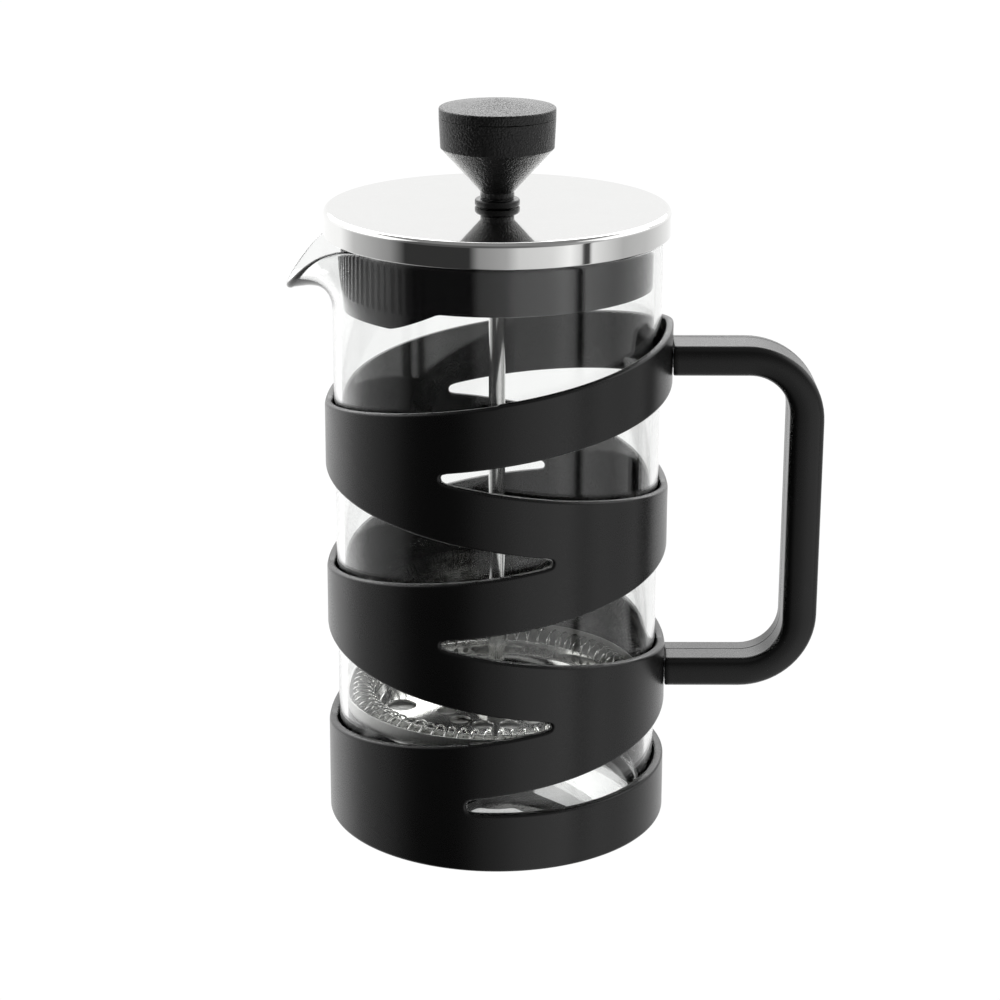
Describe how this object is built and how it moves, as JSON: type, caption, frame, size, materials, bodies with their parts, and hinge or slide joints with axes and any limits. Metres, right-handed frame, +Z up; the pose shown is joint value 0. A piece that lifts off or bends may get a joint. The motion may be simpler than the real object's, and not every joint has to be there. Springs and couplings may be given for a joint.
{
  "type": "french press",
  "caption": "Glass coffee press held in a black slotted plastic sleeve with a D-shaped handle, polished steel lid and a plunger with a spring-edged mesh filter.",
  "frame": {"origin": "centre of the sleeve's flat underside, on the surface the press stands on", "axes": "+Z up along the plunger rod, +X towards the handle, -X towards the spout"},
  "size_m": [0.1573, 0.1024, 0.218],
  "materials": {
    "black_satin": "satin, fine spark-eroded texture",
    "black_gloss": "gloss",
    "black_textured": "satin with a coarse moulded texture",
    "clear_glass": "clear borosilicate, fire polished",
    "polished_steel": "mirror polished stainless steel",
    "satin_steel": "bright drawn stainless steel",
    "woven_steel": "fine woven wire",
    "brass_insert": "turned and knurled",
    "zinc": "zinc plated"
  },
  "bodies": {
    "sleeve": {"sleeve_frame": "black_satin", "handle": "black_satin", "handle_screw_upper": "zinc", "handle_screw_lower": "zinc"},
    "beaker": {"beaker": "clear_glass"},
    "lid": {"lid_cover": "polished_steel", "rod_guide_bush": "black_satin", "guide_nut": "black_satin"},
    "lid_insert": {"lid_insert": "black_gloss"},
    "plunger": {"knob_body": "black_textured", "knob_cap": "black_textured", "knob_thread_insert": "brass_insert", "plunger_rod": "polished_steel", "upper_nut": "satin_steel", "spring_plate": "polished_steel", "spring_coil": "satin_steel", "filter_mesh": "woven_steel", "cross_plate": "polished_steel", "lower_nut": "satin_steel"}
  },
  "joints": [
    {"name": "beaker_lift", "type": "slide", "parent": "sleeve", "child": "beaker", "axis": [0, 0, 1], "range_m": [0, 0.155]},
    {"name": "lid_lift", "type": "slide", "parent": "beaker", "child": "lid", "axis": [0, 0, 1], "range_m": [0, 0.16]},
    {"name": "lid_turn", "type": "hinge", "parent": "lid", "child": "lid_insert", "pos_m": [0, 0, 0.18], "axis": [0, 0, 1], "continuous": true},
    {"name": "plunger_slide", "type": "slide", "parent": "lid", "child": "plunger", "axis": [0, 0, 1], "range_m": [0, 0.115]}
  ]
}
